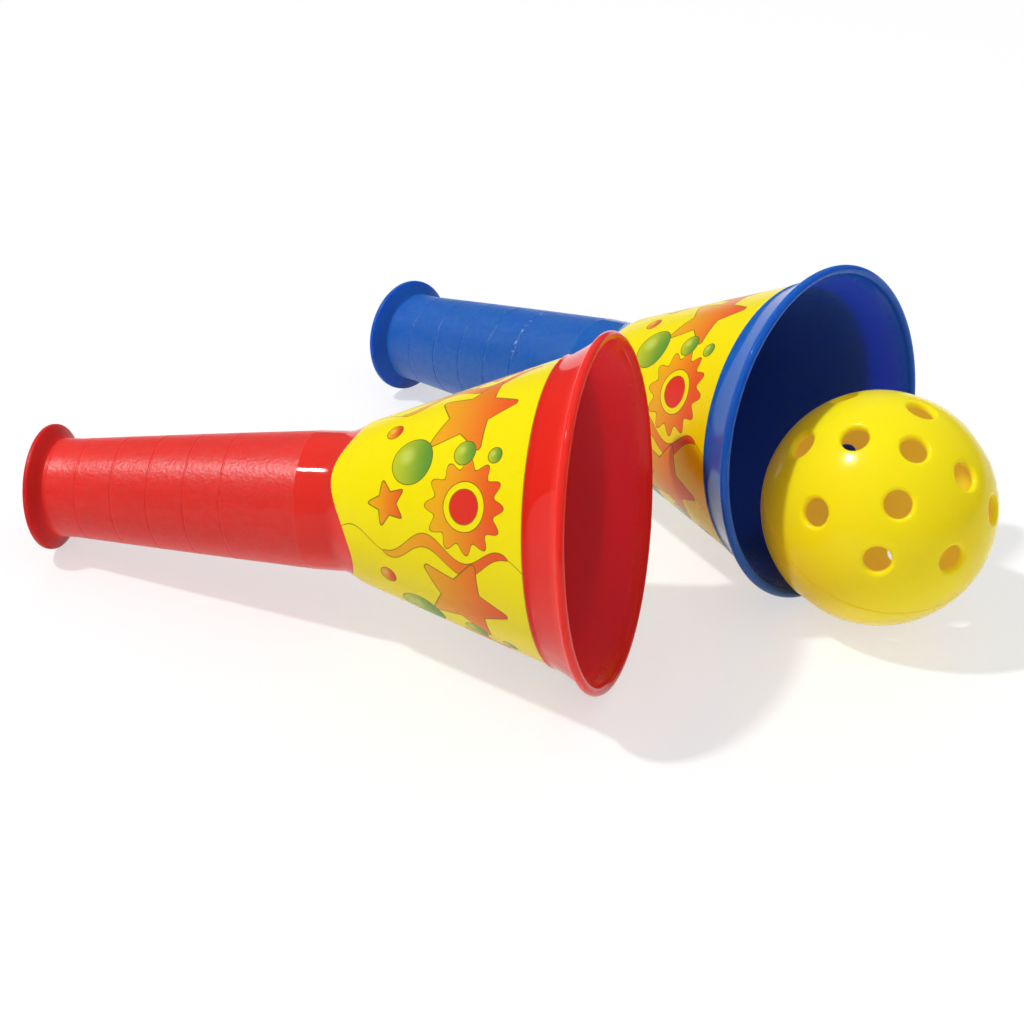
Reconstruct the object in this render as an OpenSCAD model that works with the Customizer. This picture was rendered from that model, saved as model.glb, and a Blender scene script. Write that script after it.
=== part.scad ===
/* [Catcher] */
// Length from the ring's flat end to the front of the mouth lip
catcher_len = 176; // [170:1:190]
// Diameter over the mouth lip
mouth_d = 104.3; // [102:0.1:110]
// Thickness of the moulded wall
wall = 1.8; // [1.5:0.1:2]
// Thickness of the round bead along the mouth lip
lip_t = 2.8; // [2.6:0.1:3]

/* [Cone] */
// Outer diameter of the cone just past its shoulder
cone_narrow_d = 47.4; // [46:0.1:49]
// Outer diameter of the cone at its wide end, where the label stops
cone_wide_d = 88.9; // [86:0.1:89.2]
// Length of the cone between its shoulder and its wide end
cone_len = 58.4; // [57:0.1:60]
// Outer diameter of the raised band past the label
band_d = 90.4; // [89.8:0.1:90.8]
// Length of the raised band past the label
band_len = 1.4; // [1.2:0.1:2]
// Length of the flare from the band to the front of the mouth lip
lip_flare_len = 12.2; // [11.5:0.1:13]
// Angle between the axis and the flare where it meets the lip's bead
lip_turn = 33; // [31:1:36]
// Length of the soft shoulder between grip and cone
shoulder_len = 9.5; // [8:0.1:11]

/* [Grip] */
// Outer diameter of the grip at its thin end
grip_thin_d = 30; // [29:0.1:31]
// Outer diameter of the grip where the shoulder starts
grip_thick_d = 41.8; // [41:0.1:42]
// How far the middle of the grip swells beyond a straight taper
grip_swell = 0.15; // [0:0.05:0.5]
// Number of fine grooves round the grip
groove_count = 5; // [1:1:6]
// Distance from the ring's flat end to the first groove
groove_start = 15.3; // [15:0.1:18]
// Distance between grooves
groove_pitch = 12; // [9:0.5:13]
// Width of a groove
groove_w = 0.8; // [0.5:0.1:1.2]
// Depth of a groove
groove_deep = 0.15; // [0.1:0.05:0.3]
// Diameter over the ring at the end of the grip
ring_d = 38.2; // [37:0.1:40]
// Thickness of the ring at its rim
ring_t = 1.8; // [1.6:0.1:2.2]
// Radius of the rim's rounded edges
ring_edge_r = 0.6; // [0.4:0.1:0.7]
// Distance from the ring's flat end to where its sloping back meets the grip
ring_len = 4.4; // [3.8:0.1:5]
// Width of the ring's flat end
ring_flat = 1.5; // [1.2:0.1:1.8]
// Length of the straight bore inside the thin end
bore_len = 7; // [6.5:0.1:7.5]
// Distance from the ring's flat end to where that bore ends and the grip's taper starts
straight_len = 10; // [9.5:0.1:10.5]

/* [Label] */
// Thickness of the label film
label_t = 0.2; // [0.15:0.05:0.3]
// Distance from the ring's flat end to the label's narrow edge
label_start = 98.2; // [97.5:0.1:100]
// How deep the waves in the narrow edge are
wave_deep = 4.8; // [2:0.1:6]
// Number of waves round the narrow edge
wave_count = 3; // [3:1:5]
// Turn of the first hollow of the waves from the catcher's underside
wave_turn = 28; // [0:1:120]
// Gap between the label's two ends, on the catcher's underside
seam_gap = 1; // [0.5:0.1:2]

/* [Ball] */
// Diameter of the ball
ball_d = 72; // [70:0.5:73]
// Thickness of the ball's shell
ball_wall = 2; // [1.6:0.1:2.4]
// Diameter of a hole
hole_d = 8.4; // [7.5:0.1:9]
// Radius of the rounded edge of a hole
hole_edge = 1.2; // [0.8:0.1:1.4]
// Angle from the middle hole of a half to its inner ring of holes
inner_ring = 29; // [26:0.5:31]
// Angle from the middle hole of a half to its outer ring of holes
outer_ring = 58; // [55:0.5:62]
// Number of holes in the inner ring, the outer ring has twice as many
inner_count = 4; // [3:1:4]
// Turn of the back half against the front half, about the ball's middle hole
half_turn = 24; // [0:0.5:45]
// Width of the fine groove along the weld seam
seam_w = 0.5; // [0.3:0.1:0.8]

/* [Layout] */
// Turn of each catcher away from the X axis
spread = 12.5; // [11:0.1:14]
// Place of the blue catcher's ring on the floor
blue_at = [-95.2, 80.2]; // [-140:0.1:140]
// Place of the red catcher's ring on the floor
red_at = [-126.8, -80.3]; // [-140:0.1:140]
// Place of the ball on the floor
ball_at = [96.2, 36.8]; // [-140:0.1:140]
// Lean of the ball's middle hole away from straight up
ball_lean = 31; // [0:1:90]
// Direction of that lean, from the X axis
ball_lean_dir = -51.8; // [-180:0.1:180]
// Turn of the ball about its middle hole
ball_spin = -112; // [-180:1:180]

/* [Hidden] */
$fn = 96;

// Sections are drawn as [radius, station], a station being the distance from the ring's flat end
lip_r = lip_t / 2;
lip_c = [mouth_d / 2 - lip_r, catcher_len - lip_r];
thin_r = grip_thin_d / 2;
thick_r = grip_thick_d / 2;
narrow_r = cone_narrow_d / 2;
wide_r = cone_wide_d / 2;
band_r = band_d / 2;
ball_r = ball_d / 2;
hole_r = hole_d / 2;

// Stations of the grip, the shoulder, the cone and the raised band
band_end = catcher_len - lip_flare_len;
cone_end = band_end - band_len;
cone_start = cone_end - cone_len;
grip_end = cone_start - shoulder_len;
cone_slope = (wide_r - narrow_r) / cone_len;

// The ring's rim is rounded at both edges, and its back slopes from the rim to the grip
ring_c = [ring_d / 2 - ring_edge_r, ring_edge_r];
ring_back_c = [ring_c[0], ring_t - ring_edge_r];
ring_back = [thin_r, ring_len] - ring_back_c;
back_slope = atan2(ring_back[1], ring_back[0]) - acos(ring_edge_r / norm(ring_back));

// The flare curves out from the band and ends in the lip's bead, which is rounder than the wall is thick
flare_end = lip_c + lip_r * [cos(95), -sin(95)];
flare_knee = [band_r + 0.5, flare_end[1] - (flare_end[0] - band_r - 0.5) / tan(lip_turn)];

// The catcher lies on its ring and its lip: its axis leans until one floor touches both round edges
rest_len = lip_c[1] - ring_c[1];
rest_out = lip_c[0] - ring_c[0];
tilt = atan2(rest_out, rest_len) + asin((lip_r - ring_edge_r) / norm([rest_len, rest_out]));
axis_h = ring_edge_r + ring_c[0] * cos(tilt) - ring_c[1] * sin(tilt);

// Points of an arc about c from angle a to angle b, in n steps
function arc(c, r, a, b, n) = [for (i = [0:n]) c + r * [cos(a + (b - a) * i / n), sin(a + (b - a) * i / n)]];

// Points of a curve that leaves a towards b and reaches c from b, in n steps
function bend(a, b, c, n) = [for (i = [0:n]) pow(1 - i / n, 2) * a + 2 * (1 - i / n) * i / n * b + pow(i / n, 2) * c];

// Outer radius of the grip and of the cone at station z
function grip_u(z) = (z - straight_len) / (grip_end - straight_len);
function grip_r(z) = thin_r + (thick_r - thin_r) * grip_u(z) + 4 * grip_swell * grip_u(z) * (1 - grip_u(z));
function cone_r(z) = narrow_r + cone_slope * (z - cone_start);

// Section of one groove about station z: a shallow trapezium
function groove(z) = [
    [grip_r(z - groove_w / 2), z - groove_w / 2],
    [grip_r(z) - groove_deep, z - groove_w / 4],
    [grip_r(z) - groove_deep, z + groove_w / 4],
    [grip_r(z + groove_w / 2), z + groove_w / 2]
];

ring_rim = concat(arc(ring_c, ring_edge_r, -90, 0, 5), arc(ring_back_c, ring_edge_r, 0, back_slope, 4));
thin_end = [[thin_r, ring_len], [thin_r, straight_len]];
grip_side = [for (k = [0:groove_count - 1]) each groove(groove_start + k * groove_pitch)];
shoulder = bend([thick_r, grip_end], [thick_r + 0.4, grip_end + 4.8], [narrow_r, cone_start], 8);
band = bend([wide_r, cone_end], [band_r, cone_end + 0.2], [band_r, cone_end + 0.9], 4);
lip_flare = bend([band_r, band_end], flare_knee, flare_end, 8);
lip_bead = arc(lip_c, lip_r, -95, 180, 20);

// The inner wall follows the outer one a wall's thickness inside it
wall_in = wall / cos(atan(cone_slope));
inner_knee = cone_end + 3.9;
inner_flare = bend(
    [cone_r(cone_end - 5.4) - wall_in, cone_end - 5.4],
    [cone_r(inner_knee) - wall_in, inner_knee],
    lip_c - [lip_r, 0],
    12
);
inner_shoulder = bend(
    [grip_r(grip_end - 2) - wall, grip_end - 2],
    [thick_r + 0.35 - wall, grip_end + 6],
    [cone_r(cone_start + 3) - wall_in, cone_start + 3],
    8
);
inner_bore = [[thin_r - wall, straight_len], [thin_r - wall, straight_len - bore_len]];
ring_mouth = [[ring_c[0] - ring_flat, 0]];

// Points of a list in the opposite order, and a list without points that repeat the one before
function back(p) = [for (i = [len(p) - 1:-1:0]) p[i]];
function single(p) = [for (i = [0:len(p) - 1]) if (i == 0 || norm(p[i] - p[max(i - 1, 0)]) > 0.001) p[i]];

// The whole moulding in one revolved wall: ring, grooved grip, shoulder, cone, flare and beaded mouth lip
module catcher() {
    rotate_extrude()
        polygon(single(concat(
            ring_rim,
            thin_end,
            grip_side,
            shoulder,
            band,
            lip_flare,
            lip_bead,
            back(inner_flare),
            back(inner_shoulder),
            inner_bore,
            ring_mouth
        )));
}

// Printed film on the cone, with a wavy narrow edge and a gap where its ends meet
label_side = concat([for (p = shoulder) if (p[1] > label_start) p], [[wide_r, cone_end]]);
label_foot = [lookup(label_start, [for (p = shoulder) [p[1], p[0]]]), label_start];

module film() {
    rotate_extrude()
        polygon(concat([label_foot], label_side, back([for (p = concat([label_foot], label_side)) p + [label_t, 0]])));
}

// Cutter for one wave: its outline is seen from outside and runs half a wave to either side of the hollow
wave_half = 180 / wave_count;
wave_r = narrow_r - 0.5;
wave_low = label_start - wave_deep;

module wave() {
    crest = [
        for (i = [-10:10])
            let(a = wave_half * i / 10)
                [wave_r * sin(a), label_start + wave_deep * (1 + cos(wave_count * a)) / 2]
    ];
    side = wave_r * sin(wave_half);
    rotate([90, 0, 90])
        linear_extrude(wide_r) polygon(concat(crest, [[side, wave_low], [-side, wave_low]]));
}

module waves() {
    for (k = [0:wave_count - 1]) rotate([0, 0, wave_turn + k * 2 * wave_half]) wave();
}

module label() {
    difference() {
        film();
        waves();
        translate([0, -seam_gap / 2, 0]) cube([mouth_d, seam_gap, catcher_len]);
    }
}

// Lays one catcher's piece on its ring and lip, at a place on the floor and turned about the vertical
module laid(at, turn) {
    translate([at[0], at[1], axis_h]) rotate([0, 90 - tilt, turn]) children();
}

module red_catcher() {
    color("crimson") laid(red_at, spread) catcher();
}

module red_label() {
    color("gold") laid(red_at, spread) label();
}

module blue_catcher() {
    color("royalblue") laid(blue_at, -spread) catcher();
}

module blue_label() {
    color("gold") laid(blue_at, -spread) label();
}

// Cutter for one hole: a straight bore whose outer edge rounds over into the ball's surface
edge_c = [hole_r + hole_edge, sqrt(pow(ball_r - hole_edge, 2) - pow(hole_r + hole_edge, 2))];
edge_arc = arc(edge_c, hole_edge, 180, 105, 3);
edge_out = edge_arc[3] + 2 * [cos(15), sin(15)];

module hole() {
    rotate_extrude()
        polygon(concat(
            [[0, ball_r - 2 * ball_wall], [hole_r, ball_r - 2 * ball_wall]],
            edge_arc,
            [edge_out, [edge_out[0], ball_r + 2], [0, ball_r + 2]]
        ));
}

module holes() {
    hole();
    for (k = [0:inner_count - 1])
        rotate([0, 0, k * 360 / inner_count]) rotate([0, inner_ring, 0]) hole();
    for (k = [0:2 * inner_count - 1])
        rotate([0, 0, k * 180 / inner_count]) rotate([0, outer_ring, 0]) hole();
}

// Fine groove along the seam: each half's outer edge is cut back at 45 degrees
module seam_edge() {
    cut = seam_w / 2;
    rotate_extrude() polygon([[ball_r - cut, 0], [ball_r - cut, -2], [ball_r + 2, -2], [ball_r + 2, cut + 2]]);
}

// Half of the ball's shell, with its middle hole up and its seam face down
module half_shell() {
    difference() {
        sphere(r = ball_r);
        sphere(r = ball_r - ball_wall);
        translate([-ball_d, -ball_d, -2 * ball_d]) cube(2 * ball_d);
        holes();
        seam_edge();
    }
}

module ball_pose() {
    translate([ball_at[0], ball_at[1], ball_r])
        rotate([0, 0, ball_lean_dir]) rotate([0, ball_lean, 0]) rotate([0, 0, ball_spin]) children();
}

module ball_front_half() {
    color("yellow") ball_pose() half_shell();
}

module ball_back_half() {
    color("yellow") ball_pose() rotate([180, 0, half_turn]) half_shell();
}

red_catcher();
red_label();
blue_catcher();
blue_label();
ball_front_half();
ball_back_half();
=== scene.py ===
"""A ball catch toy: a red and a blue horn-shaped catcher with printed labels, and a yellow ball."""

import logging
import math
from collections.abc import Callable
from dataclasses import dataclass, field
from enum import Enum
from functools import reduce

import bpy
import numpy as np
from mathutils import Matrix, Vector


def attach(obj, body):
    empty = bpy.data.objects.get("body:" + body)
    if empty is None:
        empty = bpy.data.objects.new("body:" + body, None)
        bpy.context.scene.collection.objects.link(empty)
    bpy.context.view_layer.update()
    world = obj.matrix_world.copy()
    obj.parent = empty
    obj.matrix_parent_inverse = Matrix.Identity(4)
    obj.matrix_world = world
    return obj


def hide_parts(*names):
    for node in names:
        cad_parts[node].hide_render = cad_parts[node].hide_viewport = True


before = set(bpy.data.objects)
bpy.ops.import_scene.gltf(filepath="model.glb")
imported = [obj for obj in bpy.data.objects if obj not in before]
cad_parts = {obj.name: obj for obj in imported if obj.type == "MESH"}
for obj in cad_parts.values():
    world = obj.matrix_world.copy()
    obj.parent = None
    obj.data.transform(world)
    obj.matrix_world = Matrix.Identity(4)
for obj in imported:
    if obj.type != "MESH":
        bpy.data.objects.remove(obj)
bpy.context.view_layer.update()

MM = 0.001
# Section points nearer than this to the one before are left out, in mm
NEAR = 0.002
# Mesh points nearer than this are merged, in mm
MERGE = 0.004
# Edges sharper than this stay sharp in the shading, in degrees
SHARP = 34
log = logging.getLogger("ball_catch_toy")

Point = tuple[float, float]
Colour = tuple[float, float, float]
Socket = bpy.types.NodeSocket
Feed = float | Socket


# Drawing a section


def arc(centre: Point, radius: float, start: float, stop: float, steps: int) -> list[Point]:
    """Points of an arc in the section plane.

    Args:
        centre: Centre as (radius from the axis, station), in mm.
        radius: Radius of the arc, in mm.
        start: Angle of the first point, in degrees.
        stop: Angle of the last point, in degrees.
        steps: Number of chords.

    Returns:
        The arc's points, steps + 1 of them.
    """
    turns = [math.radians(start + (stop - start) * i / steps) for i in range(steps + 1)]
    return [(centre[0] + radius * math.cos(t), centre[1] + radius * math.sin(t)) for t in turns]


def bend(start: Point, knee: Point, stop: Point, steps: int) -> list[Point]:
    """Points of a curve that leaves start towards knee and reaches stop from knee.

    Args:
        start: First point of the curve, in mm.
        knee: Point that both ends aim at.
        stop: Last point of the curve.
        steps: Number of chords.

    Returns:
        The curve's points, steps + 1 of them.
    """
    points = []
    for i in range(steps + 1):
        t = i / steps
        a, b, c = (1 - t) ** 2, 2 * t * (1 - t), t * t
        points.append((a * start[0] + b * knee[0] + c * stop[0], a * start[1] + b * knee[1] + c * stop[1]))
    return points


def without_repeats(points: list[Point]) -> list[Point]:
    """The same points without those that lie all but on the one before.

    Args:
        points: Section points, in mm.

    Returns:
        The thinned list.
    """
    kept = [points[0]]
    for point in points[1:]:
        if math.dist(point, kept[-1]) > NEAR:
            kept.append(point)
    return kept


# Work at the bench


class Bench:
    """The hand operations that the pieces are modelled with."""

    @staticmethod
    def pick(*objects: bpy.types.Object) -> None:
        """Selects these objects and nothing else, and makes the first one active.

        Args:
            objects: The objects to work on.
        """
        if bpy.context.mode != "OBJECT":
            bpy.ops.object.mode_set(mode="OBJECT")
        bpy.ops.object.select_all(action="DESELECT")
        for one in objects:
            one.select_set(True)
        if objects:
            bpy.context.view_layer.objects.active = objects[0]

    @staticmethod
    def draw_round(name: str, rings: list[Point], sides: int, fill: str) -> bpy.types.Object:
        """Draws a circle about Z and extrudes it from ring to ring.

        Args:
            name: Name of the new piece.
            rings: Radius and height of each ring, in mm.
            sides: Number of sides of the circle.
            fill: NGON for a first ring that is a disc, NOTHING for an open one.

        Returns:
            The new piece, with its doubles merged and its faces outwards.
        """
        radius, height = rings[0]
        Bench.pick()
        bpy.ops.mesh.primitive_circle_add(
            vertices=sides, radius=radius * MM, location=(0, 0, height * MM), fill_type=fill
        )
        piece = bpy.context.object
        piece.name = name
        bpy.ops.object.transform_apply(location=True, rotation=True, scale=True)
        bpy.ops.object.mode_set(mode="EDIT")
        bpy.ops.mesh.select_all(action="SELECT")
        for next_radius, next_height in rings[1:]:
            rise = (0, 0, (next_height - height) * MM)
            bpy.ops.mesh.extrude_region_move(TRANSFORM_OT_translate={"value": rise})
            grow = next_radius / radius
            bpy.ops.transform.resize(value=(grow, grow, 1), center_override=(0, 0, next_height * MM))
            radius, height = next_radius, next_height
        bpy.ops.mesh.select_all(action="SELECT")
        bpy.ops.mesh.remove_doubles(threshold=MERGE * MM)
        bpy.ops.mesh.normals_make_consistent(inside=False)
        bpy.ops.object.mode_set(mode="OBJECT")
        return piece

    @staticmethod
    def turn_wall(name: str, section: list[Point], sides: int) -> bpy.types.Object:
        """Draws a closed wall of revolution about Z.

        Args:
            name: Name of the new piece.
            section: Closed section as (radius, station) in mm, without its first point repeated.
            sides: Number of sides of the circle.

        Returns:
            The new piece.
        """
        points = without_repeats(section)
        return Bench.draw_round(name, points + points[:1], sides, "NOTHING")

    @staticmethod
    def twin(piece: bpy.types.Object, name: str) -> bpy.types.Object:
        """Copies a piece with its own mesh.

        Args:
            piece: The piece to copy.
            name: Name of the copy.

        Returns:
            The copy.
        """
        Bench.pick(piece)
        bpy.ops.object.duplicate(linked=False)
        copy = bpy.context.object
        copy.name = name
        copy.data.name = name
        return copy

    @staticmethod
    def place(piece: bpy.types.Object, place: Matrix) -> None:
        """Moves a piece and applies the move, so its place is in its mesh.

        Args:
            piece: The piece to move.
            place: Where its own frame goes.
        """
        Bench.pick(piece)
        piece.matrix_world = place
        bpy.ops.object.transform_apply(location=True, rotation=True, scale=True)

    @staticmethod
    def join(pieces: list[bpy.types.Object]) -> bpy.types.Object:
        """Joins pieces into the first one.

        Args:
            pieces: The pieces, the first of which stays.

        Returns:
            The joined piece.
        """
        Bench.pick(*pieces)
        bpy.ops.object.join()
        return bpy.context.object

    @staticmethod
    def cut(piece: bpy.types.Object, cutter: bpy.types.Object) -> None:
        """Cuts one piece by another, applies the cut and throws the cutter away.

        Args:
            piece: The piece that stays.
            cutter: The closed piece that is taken away from it.
        """
        Bench.pick(piece)
        boolean = piece.modifiers.new("cut", "BOOLEAN")
        boolean.operation = "DIFFERENCE"
        boolean.solver = "EXACT"
        boolean.object = cutter
        bpy.ops.object.modifier_apply(modifier=boolean.name)
        bpy.data.objects.remove(cutter)

    @staticmethod
    def smooth(piece: bpy.types.Object) -> None:
        """Shades a piece smooth but for its sharp edges."""
        Bench.pick(piece)
        bpy.ops.object.shade_smooth_by_angle(angle=math.radians(SHARP))


# Node work


class Nodes:
    """Adds nodes to one node tree and links them."""

    def __init__(self, tree: bpy.types.NodeTree) -> None:
        """Starts on the node tree of a material, a world or a group."""
        self.tree = tree

    def add(self, kind: str, **settings: object) -> bpy.types.Node:
        """Adds one node.

        Args:
            kind: The node's type name.
            settings: Its properties.

        Returns:
            The node.
        """
        node = self.tree.nodes.new(kind)
        for name, value in settings.items():
            setattr(node, name, value)
        return node

    def feed(self, socket: Socket, value: object) -> None:
        """Gives a socket a link or a value.

        Args:
            socket: The input socket.
            value: Another node's output, or a plain value.
        """
        if isinstance(value, Socket):
            self.tree.links.new(value, socket)
        else:
            socket.default_value = value

    def fill(self, node: bpy.types.Node, **values: object) -> bpy.types.Node:
        """Feeds several inputs of a node.

        Args:
            node: The node.
            values: What to feed, by the input's name with underscores for spaces.

        Returns:
            The node.
        """
        for name, value in values.items():
            self.feed(node.inputs[name.replace("_", " ")], value)
        return node

    def group(self, tree: bpy.types.NodeTree, **values: object) -> bpy.types.NodeOutputs:
        """Places a node group and gives its outputs.

        Args:
            tree: The group.
            values: What to feed, by the input's name with underscores for spaces.

        Returns:
            The outputs, by name.
        """
        node = self.add("ShaderNodeGroup", node_tree=tree)
        return self.fill(node, **values).outputs

    def math(self, operation: str, *values: Feed, clamp: bool = False) -> Socket:
        """Adds a Math node.

        Args:
            operation: Name of the operation.
            values: Its operands.
            clamp: Whether the result is held between 0 and 1.

        Returns:
            The result.
        """
        node = self.add("ShaderNodeMath", operation=operation, use_clamp=clamp)
        for socket, value in zip(node.inputs, values):
            self.feed(socket, value)
        return node.outputs[0]

    def total(self, *parts: Feed) -> Socket:
        """Adds up two values or more."""
        return reduce(lambda a, b: self.math("ADD", a, b), parts)

    def product(self, *factors: Feed) -> Socket:
        """Multiplies two values or more."""
        return reduce(lambda a, b: self.math("MULTIPLY", a, b), factors)

    def hypot(self, x: Socket, y: Socket) -> Socket:
        """Distance of X and Y from the origin."""
        return self.math("SQRT", self.total(self.product(x, x), self.product(y, y)))

    def split(self, vector: Socket) -> bpy.types.NodeOutputs:
        """The X, Y and Z of a vector."""
        return self.fill(self.add("ShaderNodeSeparateXYZ"), Vector=vector).outputs

    def between(self, value: Feed, low: float, high: float) -> Socket:
        """A soft step from 0 at low to 1 at high.

        Args:
            value: The value to test.
            low: Where the step is 0.
            high: Where the step is 1; it may lie under low.

        Returns:
            The step.
        """
        node = self.add("ShaderNodeMapRange", interpolation_type="SMOOTHSTEP")
        for socket, given in zip(node.inputs, (value, low, high)):
            self.feed(socket, given)
        return node.outputs[0]

    def blend(self, factor: Feed, a: object, b: object) -> Socket:
        """Mixes two colours.

        Args:
            factor: 0 for the first, 1 for the second.
            a: First colour or link.
            b: Second colour or link.

        Returns:
            The mixed colour.
        """
        node = self.add("ShaderNodeMix", data_type="RGBA", clamp_factor=True)
        self.feed(node.inputs[0], factor)
        for index, value in ((6, a), (7, b)):
            self.feed(node.inputs[index], (*value, 1.0) if isinstance(value, tuple) else value)
        return node.outputs[2]

    def noise(self, vector: Socket, scale: float, detail: float, rough: float) -> Socket:
        """Adds a noise texture.

        Args:
            vector: Where to read it.
            scale: Cells per metre, or per unit of the vector.
            detail: Octaves.
            rough: Strength of the finer octaves.

        Returns:
            The noise, about 0.5.
        """
        node = self.add("ShaderNodeTexNoise")
        return self.fill(node, Vector=vector, Scale=scale, Detail=detail, Roughness=rough).outputs[0]

    def relief(self, shader: bpy.types.Node, height: Feed) -> Socket:
        """Raises a surface by a height.

        Args:
            shader: The surface's Principled BSDF.
            height: The height, in mm.

        Returns:
            The normal, which a coat needs as well.
        """
        bump = self.fill(self.add("ShaderNodeBump"), Distance=MM, Height=height)
        self.feed(shader.inputs["Normal"], bump.outputs[0])
        return bump.outputs[0]


def new_group(
    name: str, inputs: dict[str, float | None], outputs: list[str]
) -> tuple[Nodes, dict[str, Socket], dict[str, Socket]]:
    """Starts a shader node group.

    Args:
        name: Name of the group.
        inputs: Input names with their defaults, or None for a vector.
        outputs: Output names.

    Returns:
        The node helper, the group's inputs by name, and its output sockets by name.
    """
    tree = bpy.data.node_groups.new(name, "ShaderNodeTree")
    for label, default in inputs.items():
        kind = "NodeSocketVector" if default is None else "NodeSocketFloat"
        socket = tree.interface.new_socket(label, in_out="INPUT", socket_type=kind)
        if default is not None:
            socket.default_value = default
    for label in outputs:
        tree.interface.new_socket(label, in_out="OUTPUT", socket_type="NodeSocketFloat")
    nodes = Nodes(tree)
    start = nodes.add("NodeGroupInput").outputs
    end = nodes.add("NodeGroupOutput").inputs
    return nodes, {label: start[label] for label in inputs}, {label: end[label] for label in outputs}


class Effects:
    """The node groups that more than one finish uses."""

    def __init__(self) -> None:
        """Builds each group once."""
        self.wear = self._wear()
        self.cone_place = self._cone_place()
        self.star = self._star()
        self.ink = self._ink()

    @staticmethod
    def _wear() -> bpy.types.NodeTree:
        """Handling marks: broad smudges, a fine mottle and thin scratches.

        Returns:
            The group.
        """
        nodes, given, out = new_group("handling marks", {"Vector": None}, ["Smudge", "Mottle", "Scratch"])
        place = given["Vector"]
        smudge = nodes.noise(place, scale=38.0, detail=4.0, rough=0.6)
        nodes.feed(out["Smudge"], nodes.between(smudge, 0.38, 0.68))
        nodes.feed(out["Mottle"], nodes.noise(place, scale=160.0, detail=3.0, rough=0.55))
        drawn_out = nodes.add("ShaderNodeMapping")
        nodes.fill(drawn_out, Vector=place, Rotation=(0.5, 0.35, 0.9), Scale=(1.0, 14.0, 14.0))
        streak = nodes.noise(drawn_out.outputs[0], scale=95.0, detail=2.0, rough=0.5)
        nodes.feed(out["Scratch"], nodes.between(streak, 0.66, 0.74))
        return nodes.tree

    @staticmethod
    def _cone_place() -> bpy.types.NodeTree:
        """Flattens the label round a motif that repeats about the cone.

        Returns:
            The group; it puts out X across and Y along the cone, in mm from the motif's middle.
        """
        nodes, given, out = new_group(
            "place on the cone",
            {"Around": 0.0, "Slant": 0.0, "Repeats": 4.0, "Phase": 0.0, "Middle": 100.0, "Unrolled": 2.1},
            ["X", "Y"],
        )
        # Whole repeats that are added to keep the fraction's number over 0
        spare = 8
        cell = nodes.math("SUBTRACT", nodes.product(given["Around"], given["Repeats"]), given["Phase"])
        offset = nodes.math("SUBTRACT", nodes.math("FRACT", nodes.total(cell, spare + 0.5)), 0.5)
        turn = nodes.math("DIVIDE", nodes.product(offset, given["Unrolled"]), given["Repeats"])
        nodes.feed(out["X"], nodes.product(given["Slant"], nodes.math("SINE", turn)))
        along = nodes.product(given["Slant"], nodes.math("COSINE", turn))
        nodes.feed(out["Y"], nodes.math("SUBTRACT", along, given["Middle"]))
        return nodes.tree

    @staticmethod
    def _star() -> bpy.types.NodeTree:
        """Distance to a five-pointed star with rounded tips, negative inside.

        Returns:
            The group.
        """
        # Reach of the valleys and of the rounded tips as shares of the star's own, and the rounding in mm
        valley_reach, tip_reach, rounding = 0.46, 0.9, 1.2
        # Half the angle from point to point, and whole turns that keep the folded angle over 0
        half, spare = math.pi / 5, 4 * math.pi
        nodes, given, out = new_group(
            "rounded star", {"X": 0.0, "Y": 0.0, "Reach": 10.0, "Turn": 0.0}, ["Distance"]
        )
        far = nodes.hypot(given["X"], given["Y"])
        angle = nodes.total(nodes.math("ARCTAN2", given["X"], given["Y"]), nodes.total(given["Turn"], spare))
        folded = nodes.math("PINGPONG", angle, half)
        across = nodes.product(far, nodes.math("COSINE", folded))
        aside = nodes.product(far, nodes.math("SINE", folded))
        valley = (valley_reach * math.cos(half), valley_reach * math.sin(half))
        length = math.dist((1.0, 0.0), valley)
        normal = (valley[1] / length, (1.0 - valley[0]) / length)
        side = nodes.total(nodes.product(across, normal[0]), nodes.product(aside, normal[1]))
        edge = nodes.math("SUBTRACT", side, nodes.product(given["Reach"], normal[0]))
        tip = nodes.math("SUBTRACT", far, nodes.product(given["Reach"], tip_reach))
        nodes.feed(out["Distance"], nodes.math("SMOOTH_MAX", edge, tip, rounding))
        return nodes.tree

    @staticmethod
    def _ink() -> bpy.types.NodeTree:
        """Turns a distance into a printed fill and its outline.

        Returns:
            The group.
        """
        # Half the width over which a fill and an outline fade out, in mm
        fill_edge, line_edge = 0.06, 0.09
        nodes, given, out = new_group("ink", {"Distance": 0.0, "Line": 0.2}, ["Fill", "Outline"])
        nodes.feed(out["Fill"], nodes.between(given["Distance"], fill_edge, -fill_edge))
        away = nodes.math("SUBTRACT", nodes.math("ABSOLUTE", given["Distance"]), given["Line"])
        nodes.feed(out["Outline"], nodes.between(away, line_edge, -line_edge))
        return nodes.tree


def new_material(name: str) -> tuple[Nodes, bpy.types.Node]:
    """Starts a material with an empty tree and one Principled BSDF.

    Args:
        name: Name of the material.

    Returns:
        The node helper and the BSDF.
    """
    material = bpy.data.materials.new(name)
    material.use_nodes = True
    material.node_tree.nodes.clear()
    nodes = Nodes(material.node_tree)
    shader = nodes.add("ShaderNodeBsdfPrincipled")
    nodes.fill(nodes.add("ShaderNodeOutputMaterial"), Surface=shader.outputs[0])
    return nodes, shader


def dress(piece: bpy.types.Object, nodes: Nodes) -> None:
    """Gives a piece one material.

    Args:
        piece: The piece.
        nodes: The helper that built the material.
    """
    material = next(m for m in bpy.data.materials if m.node_tree == nodes.tree)
    piece.data.materials.clear()
    piece.data.materials.append(material)


# Finishes


class Side(Enum):
    """Which of the two catchers."""

    RED = "red"
    BLUE = "blue"


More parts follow.
